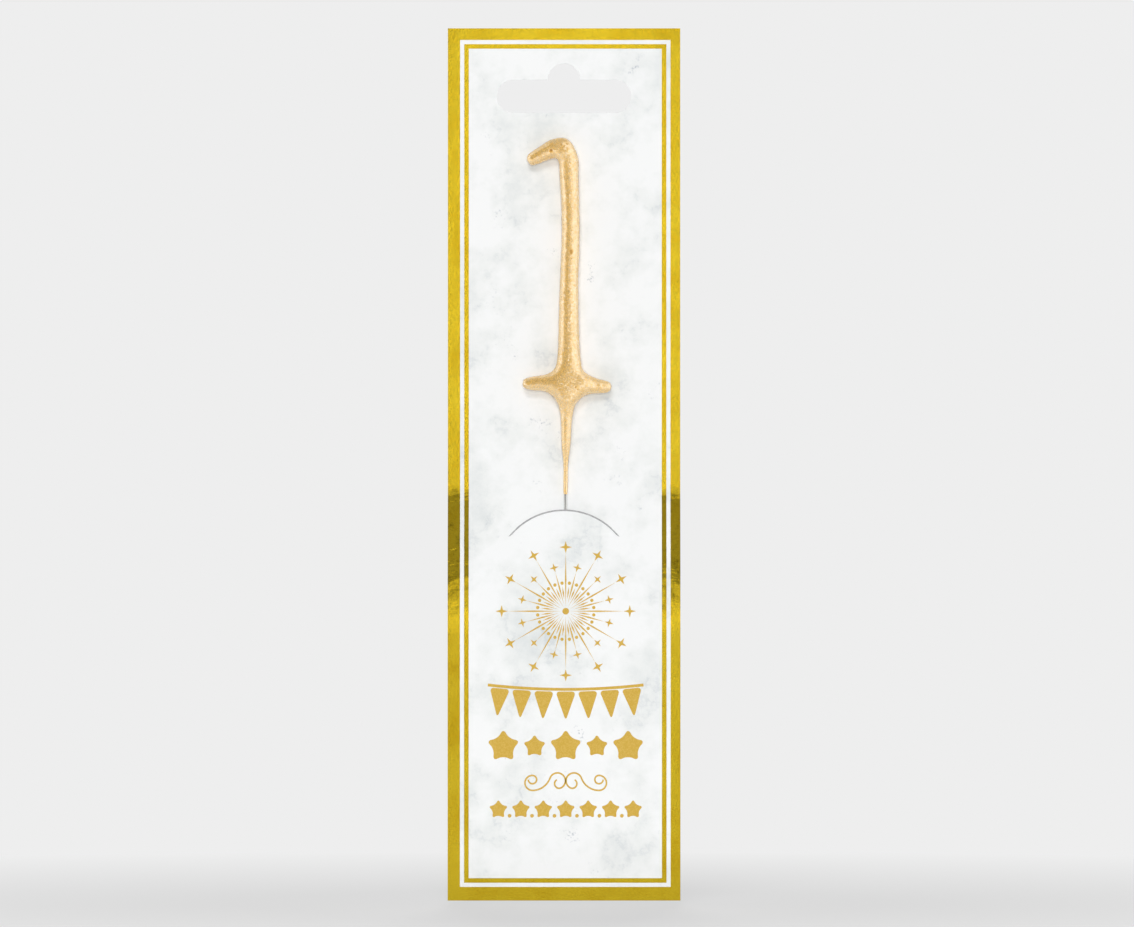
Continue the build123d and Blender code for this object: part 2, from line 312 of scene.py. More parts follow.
card_low, card_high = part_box("backing_card")
slot_reach = (SLOT_LENGTH - SLOT_HEIGHT) / 2
half_chord = SLIT_CHORD / 2
slit_radius = (half_chord**2 + SLIT_RISE**2) / (2 * SLIT_RISE)
slit_turn = 2 * math.degrees(math.asin(half_chord / slit_radius))
bm = bmesh.new()
rectangle(bm, card_low.x, card_low.z, card_high.x, card_high.z)
pen = pen_down(bm, -CROWN_RADIUS, 0)
pen = arc_about(bm, pen, 0, 0, 180)
pen = line_to(bm, pen, slot_reach, 0)
pen = arc_about(bm, pen, slot_reach, -SLOT_HEIGHT / 2, 180)
pen = line_to(bm, pen, -slot_reach, -SLOT_HEIGHT)
pen = arc_about(bm, pen, -slot_reach, -SLOT_HEIGHT / 2, 180)
pen = line_to(bm, pen, -CROWN_RADIUS, 0)
pen = pen_down(bm, -half_chord, slit_chord_height)
pen = arc_about(bm, pen, 0, SLIT_CROWN - slit_radius, slit_turn)
pen = line_to(bm, pen, -half_chord, slit_chord_height)
fill_flat(bm)
lay_on_card(bm, BOARD_THICKNESS / 2, BOARD_THICKNESS)
for face in bm.faces:
    face.material_index = 0 if face.normal.y < -0.5 else 1
board = finished(bm, "printed_card", [printed_board, pulp_and_slit_shadow])
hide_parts("backing_card")
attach(board, "card")

# Tuck tab
# The flap of the same board inside the curved slit. It folds along the slit's chord and stands
# upright in front of the wire, which it holds against the card. Its front edge is cut back at a slant,
# so that the grey pulp of the cut faces the front as a thin dark line along the slit: a painted
# shadow line where the tab stands off the card.
FOLD_RISE = 0.8 * MM
FOLD_ROWS = 10
TAB_OVERLAP = 0.05 * MM
SHADOW_LINE_SLANT = 0.37 * MM

tab_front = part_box("tuck_tab")[0].y
tab_half_chord = half_chord + TAB_OVERLAP
tab_rise = SLIT_RISE / math.cos(slope)
tab_radius = (tab_half_chord**2 + tab_rise**2) / (2 * tab_rise)
tab_turn = 2 * math.degrees(math.asin(tab_half_chord / tab_radius))
bm = bmesh.new()
pen = pen_down(bm, -tab_half_chord, slit_chord_height)
pen = arc_about(bm, pen, 0, slit_chord_height + tab_rise - tab_radius, tab_turn)
pen = line_to(bm, pen, -tab_half_chord, slit_chord_height)
fill_flat(bm)
for row in range(1, FOLD_ROWS + 1):
    bmesh.ops.bisect_plane(
        bm, geom=bm.verts[:] + bm.edges[:] + bm.faces[:],
        plane_co=(0, 0, slit_chord_height + FOLD_RISE * row / FOLD_ROWS), plane_no=(0, 0, 1),
    )
bmesh.ops.solidify(bm, geom=bm.faces[:], thickness=BOARD_THICKNESS)
for vertex in bm.verts:
    climb = vertex.co.z - slit_chord_height
    unfolded = min(1, climb / FOLD_RISE)
    # The front edge is drawn in at a slant so its grey cut shows as a painted shadow line along the slit.
    if vertex.co.y < BOARD_THICKNESS / 2:
        inset = SHADOW_LINE_SLANT * unfolded / tab_radius
        vertex.co.x -= inset * vertex.co.x
        vertex.co.z -= inset * (climb + tab_radius - tab_rise)
    vertex.co.y += tab_front + math.tan(slope) * FOLD_RISE * (unfolded - unfolded**2 / 2)
bm.normal_update()
for face in bm.faces:
    face.material_index = 0 if face.normal.y < -0.9 else 1
tab = finished(bm, "tuck_flap", [printed_board, pulp_and_slit_shadow])
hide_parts("tuck_tab")
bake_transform(tab)

# Gold foil borders
# A broad frame along the card's edge and a thin line inside it, pressed on with a hot die from a
# coloured metal film. The board's tooth shows through the film as a fine grain.
FOIL_THICKNESS = 0.03 * MM
FOIL_GOLD = "#DEC02E"
FOIL_DEEP = "#CDA91C"
FOIL_GRAIN = 0.5 * MM
FOIL_DRIFT = 9 * MM
CRINKLE_SIZE = 2.2 * MM
CRINKLE_HEIGHT = 0.2 * MM
CRINKLE_STRETCH = 0.45
FOIL_SMOOTHEST = 0.09
FOIL_ROUGHEST = 0.17

# Hot-stamped metallised film: bright yellow gold with a soft gloss, broken by the board's tooth, and
# crinkled where the card is bent.
gold_foil, tree, place = new_material("hot_stamped_gold_film")
tooth = add(
    tree, "ShaderNodeTexNoise",
    {"Vector": place, "Scale": 1 / FOIL_GRAIN, "Detail": 4, "Roughness": 0.6},
)
drift = add(
    tree, "ShaderNodeTexNoise",
    {"Vector": place, "Scale": 1 / FOIL_DRIFT, "Detail": 3, "Roughness": 0.6},
)
tint = add(tree, "ShaderNodeMath", {0: tooth.outputs["Fac"], 1: drift.outputs["Fac"]}, operation="ADD")
tint = add(tree, "ShaderNodeMath", {0: tint.outputs[0], 1: 0.5}, operation="MULTIPLY")
film = ramp(tree, tint.outputs[0], (0.36, FOIL_DEEP), (0.56, FOIL_GOLD))
gloss = add(
    tree, "ShaderNodeMapRange",
    {
        "Value": tooth.outputs["Fac"], "From Min": 0.3, "From Max": 0.7, "To Min": FOIL_SMOOTHEST,
        "To Max": FOIL_ROUGHEST,
    },
)
relief = add(tree, "ShaderNodeBump", {"Height": tooth.outputs["Fac"], "Strength": 0.4, "Distance": 0.02 * MM})
height = add(tree, "ShaderNodeSeparateXYZ", {"Vector": place}).outputs["Z"]
below = add(tree, "ShaderNodeMapRange", {"Value": height, "From Min": bend_top, "From Max": slant_top})
above = add(tree, "ShaderNodeMapRange", {"Value": height, "From Min": bend_bottom, "From Max": slant_bottom})
bent = add(tree, "ShaderNodeMath", {0: below.outputs[0], 1: above.outputs[0]}, operation="MULTIPLY")
across = add(tree, "ShaderNodeMapping", {"Vector": place, "Scale": (CRINKLE_STRETCH, 1, 1)})
crinkles = add(
    tree, "ShaderNodeTexNoise",
    {"Vector": across.outputs[0], "Scale": 1 / CRINKLE_SIZE, "Detail": 2, "Roughness": 0.5},
)
relief = add(
    tree, "ShaderNodeBump",
    {
        "Height": crinkles.outputs["Fac"], "Strength": bent.outputs[0], "Distance": CRINKLE_HEIGHT,
        "Normal": relief.outputs["Normal"],
    },
)
shader = add(
    tree, "ShaderNodeBsdfPrincipled",
    {"Base Color": film, "Metallic": 1.0, "Roughness": gloss.outputs[0], "Normal": relief.outputs["Normal"]},
)
add(tree, "ShaderNodeOutputMaterial", {"Surface": shader.outputs["BSDF"]})

BORDER_SIDE_WIDTH = 2.65 * MM
BORDER_END_WIDTH = 3.05 * MM
PRINT_SHIFT_RIGHT = 0.3 * MM
PRINT_SHIFT_UP = 0.24 * MM
INNER_LINE_WIDTH = 1.1 * MM
line_low, line_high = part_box("inner_foil_border")
foil_forward = BOARD_THICKNESS / 2 + FOIL_THICKNESS
opening = (
    card_low.x + BORDER_SIDE_WIDTH + PRINT_SHIFT_RIGHT,
    card_low.z + BORDER_END_WIDTH + PRINT_SHIFT_UP,
    card_high.x - BORDER_SIDE_WIDTH + PRINT_SHIFT_RIGHT,
    card_high.z - BORDER_END_WIDTH + PRINT_SHIFT_UP,
)
for name, node, outside, inside in (
    ("broad_foil_frame", "outer_foil_border", (card_low.x, card_low.z, card_high.x, card_high.z), opening),
    (
        "fine_foil_line", "inner_foil_border", (line_low.x, line_low.z, line_high.x, line_high.z),
        (
            line_low.x + INNER_LINE_WIDTH, line_low.z + INNER_LINE_WIDTH,
            line_high.x - INNER_LINE_WIDTH, line_high.z - INNER_LINE_WIDTH,
        ),
    ),
):
    bm = bmesh.new()
    rectangle(bm, *outside)
    rectangle(bm, *inside)
    fill_flat(bm)
    lay_on_card(bm, foil_forward, FOIL_THICKNESS)
    foil = finished(bm, name, [gold_foil])
    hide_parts(node)
    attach(foil, "card")

# Steel wires
# One drawn steel wire runs from the flag to the bare tail behind the card, and a short piece is
# welded across it under the foot. Both are plain, as they came off the coil.
STEEL_PALE = "#D2D2CF"
STEEL_DARK = "#ABABA8"
DRAW_LINE = 0.12 * MM
DRAW_STRETCH = 0.02

# Cold-drawn mild steel: grey, half bright, with fine lines along the wire from the die.
steel_wire, tree, place = new_material("cold_drawn_steel_wire")
along = add(tree, "ShaderNodeMapping", {"Vector": place, "Scale": (1, 1, DRAW_STRETCH)})
lines = add(
    tree, "ShaderNodeTexNoise",
    {"Vector": along.outputs[0], "Scale": 1 / DRAW_LINE, "Detail": 3, "Roughness": 0.6},
)
steel = ramp(tree, lines.outputs["Fac"], (0.35, STEEL_DARK), (0.6, STEEL_PALE))
relief = add(
    tree, "ShaderNodeBump", {"Height": lines.outputs["Fac"], "Strength": 0.15, "Distance": 0.01 * MM}
)
shader = add(
    tree, "ShaderNodeBsdfPrincipled",
    {"Base Color": steel, "Metallic": 1.0, "Roughness": 0.22, "Normal": relief.outputs["Normal"]},
)
add(tree, "ShaderNodeOutputMaterial", {"Surface": shader.outputs["BSDF"]})
for name in ("core_wire", "foot_wire"):
    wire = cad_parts[name]
    wire.data.materials.clear()
    wire.data.materials.append(steel_wire)

# Gold prints
# Flat marks of dull gold ink on the lower half of the card: a burst of rays, a string of pennants,
# two rows of stars and a scroll between them, all printed in one pass.
INK_THICKNESS = 0.02 * MM
INK_GOLD = "#D8B048"
INK_PALE = "#E0BC5C"
INK_GRAIN = 0.3 * MM
PRINT_MIDDLE = 0.4 * MM

# Offset gold ink: a flat warm gold with hardly any gloss, and a faint grain of bronze powder.
gold_ink, tree, place = new_material("offset_printed_gold_ink")
powder = add(tree, "ShaderNodeTexNoise", {"Vector": place, "Scale": 1 / INK_GRAIN, "Detail": 2})
ink = ramp(tree, powder.outputs["Fac"], (0.4, INK_GOLD), (0.65, INK_PALE))
shader = add(tree, "ShaderNodeBsdfPrincipled", {"Base Color": ink, "Metallic": 0.15, "Roughness": 0.55})
add(tree, "ShaderNodeOutputMaterial", {"Surface": shader.outputs["BSDF"]})


def mark(bm, points, x, z, width, height, turn=0, waist=1, rounding=0):
    """Prints a mark with its points on an oval, every second one drawn in to the waist."""
    upright = Matrix.Rotation(math.radians(90), 4, "X")
    ring = bmesh.ops.create_circle(bm, cap_ends=True, segments=points, radius=0.5, matrix=upright)["verts"]
    for place_in_ring, vertex in enumerate(ring):
        if place_in_ring % 2:
            vertex.co *= waist
    bmesh.ops.scale(bm, vec=(width, 1, height), verts=ring)
    bmesh.ops.rotate(bm, matrix=Matrix.Rotation(math.radians(turn), 3, "Y"), verts=ring)
    bmesh.ops.translate(bm, vec=(x, 0, z), verts=ring)
    if rounding:
        bmesh.ops.bevel(
            bm, geom=ring, offset=rounding, affect="VERTICES", segments=5, profile=0.5, material=-1
        )


def stroke(bm, x, z, radius, line, start, sweep):
    """Prints an arc of a line's width about a centre, from a start angle, clockwise from the top."""
    ends = []
    for reach in (radius - line / 2, radius + line / 2):
        angle = math.radians(start)
        ends.append(bm.verts.new((x + reach * math.sin(angle), 0, z + reach * math.cos(angle))))
    edge = bm.edges.new(ends)
    bmesh.ops.spin(
        bm, geom=[*ends, edge], cent=(x, 0, z), axis=(0, 1, 0), angle=math.radians(sweep), steps=ARC_STEPS
    )


def printed(bm, name):
    """Lays flat marks on the card as a film of ink."""
    bmesh.ops.triangulate(bm, faces=bm.faces[:])
    bm.normal_update()
    backwards = [face for face in bm.faces if face.normal.y > 0]
    bmesh.ops.reverse_faces(bm, faces=backwards)
    lay_on_card(bm, BOARD_THICKNESS / 2 + INK_THICKNESS, INK_THICKNESS)
    film = finished(bm, name, [gold_ink])
    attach(film, "card")


# The burst: 12 long rays with four-pointed stars at their ends, 12 shorter ones and 24 with dots.
BURST_HEIGHT = -128.0 * MM
BURST_TURNS = 48
RAY_WIDTH = 0.38 * MM
BURST_DOT = 1.6 * MM
# Each ray: its start, its end and its tip's place in millimetres, then the tip's points, its size in
# millimetres and how far its waist is drawn in.
LONG_RAY = (1.0, 14.2, 15.4, 8, 3.0, 0.3)
MIDDLE_RAY = (1.8, 9.8, 10.8, 8, 2.3, 0.3)
SHORT_RAY = (2.9, 6.1, 6.8, 20, 0.8, 1)
bm = bmesh.new()
mark(bm, 24, PRINT_MIDDLE, BURST_HEIGHT, BURST_DOT, BURST_DOT)
for ray in range(BURST_TURNS):
    turn = 360 * ray / BURST_TURNS
    outward = Vector((math.sin(math.radians(turn)), math.cos(math.radians(turn)))) * MM
    inner, outer, tip, points, size, waist = (LONG_RAY, SHORT_RAY, MIDDLE_RAY, SHORT_RAY)[ray % 4]
    middle = outward * (inner + outer) / 2
    mark(bm, 4, PRINT_MIDDLE + middle.x, BURST_HEIGHT + middle.y, RAY_WIDTH, (outer - inner) * MM, turn)
    end = outward * tip
    mark(bm, points, PRINT_MIDDLE + end.x, BURST_HEIGHT + end.y, size * MM, size * MM, turn, waist)
printed(bm, "print_burst")

# Pennants on a sagging string.
PENNANTS = 7
PENNANT_PITCH = 5.35 * MM
PENNANT_WIDTH = 5.7 * MM
PENNANT_HEIGHT = 9.4 * MM
STRING_HEIGHT = -146.8 * MM
STRING_RADIUS = 165 * MM
STRING_WIDTH = 0.7 * MM
PENNANT_ROUNDING = 1.0 * MM
bm = bmesh.new()
half_string = math.degrees(math.asin(PENNANT_PITCH * PENNANTS / 2 / STRING_RADIUS))
stroke(
    bm, PRINT_MIDDLE, STRING_HEIGHT + STRING_RADIUS, STRING_RADIUS, STRING_WIDTH, 180 - half_string,
    2 * half_string,
)
for pennant in range(PENNANTS):
    aside = (pennant - (PENNANTS - 1) / 2) * PENNANT_PITCH
    lift = STRING_RADIUS - math.sqrt(STRING_RADIUS**2 - aside**2)
    top = STRING_HEIGHT + lift - 0.75 * STRING_WIDTH
    mark(
        bm, 3, PRINT_MIDDLE + aside, top - PENNANT_HEIGHT / 4, PENNANT_WIDTH, PENNANT_HEIGHT,
        180 - math.degrees(aside / STRING_RADIUS), 1, PENNANT_ROUNDING,
    )
printed(bm, "print_pennants")

# Large and small stars in turn.
STAR_PITCH = 7.5 * MM
STAR_HEIGHT = -160.5 * MM
STAR_SIZES = (8.9 * MM, 6.2 * MM)
STAR_WAIST = 0.5
bm = bmesh.new()
for star in range(5):
    size = STAR_SIZES[star % 2]
    aside = PRINT_MIDDLE + (star - 2) * STAR_PITCH
    mark(bm, 10, aside, STAR_HEIGHT, size, size, 0, STAR_WAIST, 0.16 * size)
printed(bm, "print_stars")

# A scroll in two mirrored halves. Each arc is a centre across and up, a radius, a start and a sweep.
SCROLL_LINE = 0.4 * MM
SCROLL_HEIGHT = -168.5 * MM
SCROLL_ARCS = (
    (8.0, 0.0, 1.0, 90, 270),
    (8.0, -0.8, 1.8, 0, 180),
    (8.0, 1.9, 4.5, 180, 70),
    (1.985, -0.29, 1.9, 70, -220),
    (1.585, -0.99, 1.1, -150, -180),
)
bm = bmesh.new()
for side in (-1, 1):
    for x, z, radius, begin, sweep in SCROLL_ARCS:
        stroke(
            bm, PRINT_MIDDLE + side * x * MM, SCROLL_HEIGHT + z * MM, radius * MM, SCROLL_LINE,
            side * begin, side * sweep,
        )
printed(bm, "print_scroll")

# A row of small stars with dots between their feet.
SMALL_PITCH = 5.4 * MM
SMALL_HEIGHT = -175.7 * MM
SMALL_SIZE = 5.2 * MM
SMALL_ROUNDING = 0.8 * MM
DOT_HEIGHT = -177.2 * MM
DOT_SIZE = 0.9 * MM
bm = bmesh.new()
for star in range(7):
    aside = PRINT_MIDDLE + (star - 3) * SMALL_PITCH
    mark(bm, 10, aside, SMALL_HEIGHT, SMALL_SIZE, SMALL_SIZE, 0, STAR_WAIST, SMALL_ROUNDING)
    if star < 6:
        mark(bm, 20, aside + SMALL_PITCH / 2, DOT_HEIGHT, DOT_SIZE, DOT_SIZE)
printed(bm, "print_small_stars")

# Spark composition
# The crust that burns: the wire was dipped again and again in a slurry of iron and nitrate, which
# dried in the shape of a 1, and was then sprayed with a peach gold lacquer.
CAGE_SPREAD = 1.09
DIP_GRID = 0.16 * MM
HUB_LEFT = -2.6
HUB_RIGHT = 4.6
HUB_BOTTOM = -76.6
HUB_TOP = -69.9
HUB_DEPTH = 4.85
# Each ring below is a section of the crust in millimetres: its middle across and up, its width, its
# depth, the turn of its width from level, and its middle's depth where it isn't the numeral's own.
STEM = (
    (1.17, -68.5, 5.9, 4.6, 0),
    (1.14, -66.4, 5.3, 4.6, 0),
    (1.12, -63.0, 5.0, 4.55, 0),
    (1.12, -57.0, 4.76, 4.5, 0),
    (1.18, -49.0, 4.42, 4.35, 0),
    (1.53, -41.0, 4.4, 4.3, 0),
    (1.67, -34.5, 4.3, 4.25, 0),
    (1.43, -28.0, 4.3, 4.25, 0),
    (1.25, -24.0, 4.55, 4.3, 0),
    (1.22, -21.4, 4.6, 4.4, 0),
    (1.24, -19.15, 4.85, 4.4, 8),
    (-1.1, -13.7, 4.4, 4.3, 16),
)
FLAG = (
    (-2.95, -16.8, 4.35, 4.1, 112),
    (-5.2, -17.9, 3.6, 3.6, 116),
    (-7.1, -18.95, 3.45, 3.2, 117),
    (-8.9, -19.85, 2.5, 2.3, 116),
)
LEFT_ARM = (
    (-4.4, -73.08, 3.8, 4.0, 90),
    (-6.6, -73.18, 3.38, 3.5, 90),
    (-8.8, -73.25, 2.9, 2.9, 90),
    (-10.1, -73.2, 1.7, 1.8, 90),
)
RIGHT_ARM = (
    (6.1, -73.45, 4.4, 4.2, -90),
    (8.0, -73.85, 3.65, 3.4, -93),
    (10.1, -74.08, 2.95, 2.8, -94),
    (11.45, -74.1, 1.9, 1.8, -94),
)
NECK = (
    (0.6, -77.9, 4.4, 4.3, 180),
    (0.66, -79.4, 3.4, 3.4, 180),
    (0.6, -81.4, 2.6, 2.7, 180, -3.09),
    (0.5, -85.0, 2.35, 2.35, 180, -2.87),
    (0.48, -88.4, 2.1, 2.0, 180, -2.523),
    (0.44, -90.2, 1.62, 1.55, 180, -2.34),
    (0.4, -91.6, 1.2, 1.2, 180, -2.199),
    (0.38, -95.0, 1.1, 1.1, 180, -1.855),
    (0.37, -98.5, 1.06, 1.06, 180, -1.525),
    (0.35, -100.45, 1.04, 1.04, 180, -1.481),
)
crust_low, crust_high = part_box("spark_composition")
numeral_depth = (crust_low.y + crust_high.y) / 2 / MM


def draw_out(bm, face, rings):
    """Draws a face of the crust's cage out through rings and gives back the last face."""
    for x, z, width, depth, lean, *middle_depth in rings:
        across = Vector((math.cos(math.radians(lean)), 0, math.sin(math.radians(lean))))
        old_middle = face.calc_center_median()
        face = bmesh.ops.extrude_discrete_faces(bm, faces=[face])["faces"][0]
        middle = Vector((x, middle_depth[0] if middle_depth else numeral_depth, z)) * MM
        for vertex in face.verts:
            offset = vertex.co - old_middle
            aside = math.copysign(width / 2 * MM * CAGE_SPREAD, offset.dot(across))
            front = math.copysign(depth / 2 * MM * CAGE_SPREAD, offset.y)
            vertex.co = middle + across * aside + Vector((0, front, 0))
    return face


# The cage: a block where the four limbs meet, each limb drawn out of one of its faces.
bm = bmesh.new()
bmesh.ops.create_cube(bm, size=1)
for vertex in bm.verts:
    vertex.co = Vector((
        HUB_LEFT if vertex.co.x < 0 else HUB_RIGHT,
        numeral_depth + math.copysign(HUB_DEPTH / 2 * CAGE_SPREAD, vertex.co.y),
        HUB_BOTTOM if vertex.co.z < 0 else HUB_TOP,
    )) * MM
bm.normal_update()
limbs = {tuple(round(c) for c in face.normal): face for face in bm.faces}
head = draw_out(bm, limbs[(0, 0, 1)], STEM)
draw_out(bm, limbs[(-1, 0, 0)], LEFT_ARM)
draw_out(bm, limbs[(1, 0, 0)], RIGHT_ARM)
draw_out(bm, limbs[(0, 0, -1)], NECK)
bm.normal_update()
round_head = [face for edge in head.edges for face in edge.link_faces if face is not head]
brow = min(round_head, key=lambda face: face.normal.x)
draw_out(bm, brow, FLAG)
bmesh.ops.recalc_face_normals(bm, faces=bm.faces)
cage = finished(bm, "crust_cage", [], 180)
dip = cage.modifiers.new("dip", "SUBSURF")
dip.levels = 4
dip.render_levels = 4
grid = cage.modifiers.new("grid", "REMESH")
grid.mode = "VOXEL"
grid.voxel_size = DIP_GRID

# The dried surface: slow swellings from the drips, small lumps, the grain of the iron powder, and a
# few pits where gas came out. Each pit is a place across and up, a radius and a depth in millimetres.
SWELLINGS = ((6.0, 0.1), (1.7, 0.05), (0.5, 0.028))
CALM_BELOW = -86.0
CALM_ABOVE = -78.0
CALM_SHARE = 0.3
PITS = (
    (-3.15, -17.16, 0.58, 0.34),
    (1.66, -41.3, 0.5, 0.09),
    (1.7, -41.8, 0.5, 0.09),
    (0.7, -15.5, 0.26, 0.14),
    (-0.9, -15.7, 0.2, 0.12),
    (-0.1, -16.2, 0.22, 0.1),
    (-0.1, -51.6, 0.4, -0.14),
    (0.0, -53.4, 0.42, -0.14),
    (2.75, -74.1, 0.25, 0.18),
    (3.3, -74.7, 0.22, 0.16),
    (1.5, -73.0, 0.22, 0.12),
    (-1.1, -74.6, 0.25, 0.12),
)
bm = bmesh.new()
bm.from_object(cage, bpy.context.evaluated_depsgraph_get())
bpy.data.objects.remove(cage)
bm.normal_update()
# Marks the sunken pits, which are painted darker brown: the bare crust together with painted shade in the
# hollows.
bare = bm.verts.layers.float.new("bare")
moved = []
for vertex in bm.verts:
    spot = vertex.co / MM
    calm = min(1, max(0, (spot.z - CALM_BELOW) / (CALM_ABOVE - CALM_BELOW)))
    rise = sum(height * noise.noise(spot / size) for size, height in SWELLINGS)
    rise *= CALM_SHARE + (1 - CALM_SHARE) * calm
    if vertex.normal.y < 0:
        for x, z, radius, depth in PITS:
            share = max(0, 1 - math.hypot(spot.x - x, spot.z - z) ** 2 / radius**2) ** 2
            rise -= depth * share
            vertex[bare] = max(vertex[bare], share if depth > 0 else 0)
    moved.append((vertex, vertex.normal * rise * MM))
for vertex, move in moved:
    vertex.co += move

# Sprayed metallic lacquer on a rough crust: pale bright flakes that face every way, in an amber
# resin that shows where the flakes reflect nothing. The pits are painted a darker brown with fewer
# flakes: partly the bare crust, partly painted shade that darkens the hollows. Flakes are
# drawn about four times as large as they are, or they would be too fine to see.
RESIN_AMBER = "#FDCC6A"
RESIN_DEEP = "#E3AC48"
FLAKE_PALE = "#FFFAEC"
FLAKE_DULL = "#FBEFD6"
PIT_CRUST_AND_SHADE_BROWN = "#A87A45"
FLAKE_SIZE = 0.22 * MM
PATCH_SIZE = 1.1 * MM
FLAKE_TILT = 0.16
FLAKE_SHARE_IN_TONE = 0.3
THIN_COVER = 0.13
THICK_COVER = 0.25
FLAKE_COVER = 0.4
lacquered_crust, tree, place = new_material("dipped_crust_peach_gold_lacquer")
flakes = add(tree, "ShaderNodeTexVoronoi", {"Vector": place, "Scale": 1 / FLAKE_SIZE})
patches = add(
    tree, "ShaderNodeTexNoise", {"Vector": place, "Scale": 1 / PATCH_SIZE, "Detail": 6, "Roughness": 0.75}
)
pit_crust_and_shade = add(tree, "ShaderNodeAttribute", attribute_name="bare")
flake_tone = add(tree, "ShaderNodeSeparateColor", {"Color": flakes.outputs["Color"]})
grain_tone = add(
    tree, "ShaderNodeMix",
    {0: FLAKE_SHARE_IN_TONE, 2: patches.outputs["Fac"], 3: flake_tone.outputs["Blue"]},
)
resin_colour = ramp(tree, grain_tone.outputs[0], (0.25, RESIN_DEEP), (0.68, RESIN_AMBER))
resin_colour = add(
    tree, "ShaderNodeMix", {0: pit_crust_and_shade.outputs["Fac"], 6: resin_colour, 7: linear(PIT_CRUST_AND_SHADE_BROWN)}, data_type="RGBA"
)
flake_colour = ramp(tree, flake_tone.outputs["Red"], (0.1, FLAKE_DULL), (0.6, FLAKE_PALE))
tilt = add(
    tree, "ShaderNodeVectorMath", {0: flakes.outputs["Color"], 1: (0.5, 0.5, 0.5)}, operation="SUBTRACT"
)
tilt = add(tree, "ShaderNodeVectorMath", {0: tilt.outputs[0], "Scale": FLAKE_TILT}, operation="SCALE")
facing = add(tree, "ShaderNodeNewGeometry")
tilt = add(tree, "ShaderNodeVectorMath", {0: tilt.outputs[0], 1: facing.outputs["Normal"]}, operation="ADD")
tilt = add(tree, "ShaderNodeVectorMath", {0: tilt.outputs[0]}, operation="NORMALIZE")
resin = add(tree, "ShaderNodeBsdfPrincipled", {"Base Color": resin_colour.outputs[2], "Roughness": 0.5})
flake = add(
    tree, "ShaderNodeBsdfPrincipled",
    {"Base Color": flake_colour, "Metallic": 1.0, "Roughness": 0.25, "Normal": tilt.outputs[0]},
)
cover = add(
    tree, "ShaderNodeMapRange",
    {
        "Value": patches.outputs["Fac"], "From Min": 0.3, "From Max": 0.7, "To Min": THIN_COVER,
        "To Max": THICK_COVER,
    },
)
cover = add(tree, "ShaderNodeMath", {0: cover.outputs[0], 1: pit_crust_and_shade.outputs["Fac"]}, operation="SUBTRACT")
cover = add(
    tree, "ShaderNodeMath", {0: flake_tone.outputs["Green"], 1: FLAKE_COVER, 2: cover.outputs[0]},
    operation="MULTIPLY_ADD",
)
lacquer = add(
    tree, "ShaderNodeMixShader", {0: cover.outputs[0], 1: resin.outputs["BSDF"], 2: flake.outputs["BSDF"]}
)
add(tree, "ShaderNodeOutputMaterial", {"Surface": lacquer.outputs[0]})
crust = finished(bm, "crust_numeral", [lacquered_crust], 180)
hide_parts("spark_composition")
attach(crust, "sparkler")

# Stage
# A plain pale floor, a light tent round it, soft boxes, and the camera straight before the card.
PIXEL = 0.241 * MM
PHOTO_WIDTH = 1134
PHOTO_HEIGHT = 927
CROWN_PIXEL = (564.05, 79.8)
CAMERA_DISTANCE = 2.5
scene = bpy.context.scene
camera_data = bpy.data.cameras.new("camera")
camera_data.sensor_width = 36
camera_data.lens = camera_data.sensor_width * CAMERA_DISTANCE / (PHOTO_WIDTH * PIXEL)
camera = bpy.data.objects.new("camera", camera_data)
camera.location = (
    (PHOTO_WIDTH / 2 - CROWN_PIXEL[0]) * PIXEL, -CAMERA_DISTANCE, (CROWN_PIXEL[1] - PHOTO_HEIGHT / 2) * PIXEL
)
camera.rotation_euler = (math.pi / 2, 0, 0)
scene.collection.objects.link(camera)
scene.camera = camera
scene.view_settings.view_transform = "Standard"

# A pale tent round the card lights it from all sides. In metal its walls show brighter than white, its
# roof and floor darker, with a dark opening on the camera's side, which bent foil and the numeral's
# middle reflect. Behind the object the camera sees the tent as an even pale ground.
TENT_PALE = "#EEEEEE"
TENT_FILL = 0.4
TENT_SHOWN = 1.6
ROOF_SHARE = 0.3
WALL_TOP = 0.62
ROOF_EDGE = 0.88
OPENING_AZIMUTH = -17
OPENING_ELEVATION = 20
OPENING_HALF_ANGLE = 37
OPENING_EDGE = 5
OPENING_BRIGHTNESS = 0.13
world = bpy.data.worlds.new("light_tent")
scene.world = world
world.use_nodes = True
tree = world.node_tree
tree.nodes.clear()
direction = add(tree, "ShaderNodeTexCoord").outputs["Generated"]
turn = math.radians(OPENING_AZIMUTH)
lift = math.radians(OPENING_ELEVATION)
opening_middle = (math.sin(turn) * math.cos(lift), -math.cos(turn) * math.cos(lift), math.sin(lift))
nearness = add(tree, "ShaderNodeVectorMath", {0: direction, 1: opening_middle}, operation="DOT_PRODUCT")
in_opening = add(
    tree, "ShaderNodeMapRange",
    {
        "Value": nearness.outputs["Value"],
        "From Min": math.cos(math.radians(OPENING_HALF_ANGLE + OPENING_EDGE)),
        "From Max": math.cos(math.radians(OPENING_HALF_ANGLE - OPENING_EDGE)),
        "To Min": 1.0,
        "To Max": OPENING_BRIGHTNESS,
    },
)
rise = add(tree, "ShaderNodeSeparateXYZ", {"Vector": direction}).outputs["Z"]
rise = add(tree, "ShaderNodeMath", {0: rise}, operation="ABSOLUTE").outputs[0]
wall = add(
    tree, "ShaderNodeMapRange",
    {
        "Value": rise, "From Min": WALL_TOP, "From Max": ROOF_EDGE, "To Min": TENT_SHOWN,
        "To Max": TENT_SHOWN * ROOF_SHARE,
    },
)
rays = add(tree, "ShaderNodeLightPath")
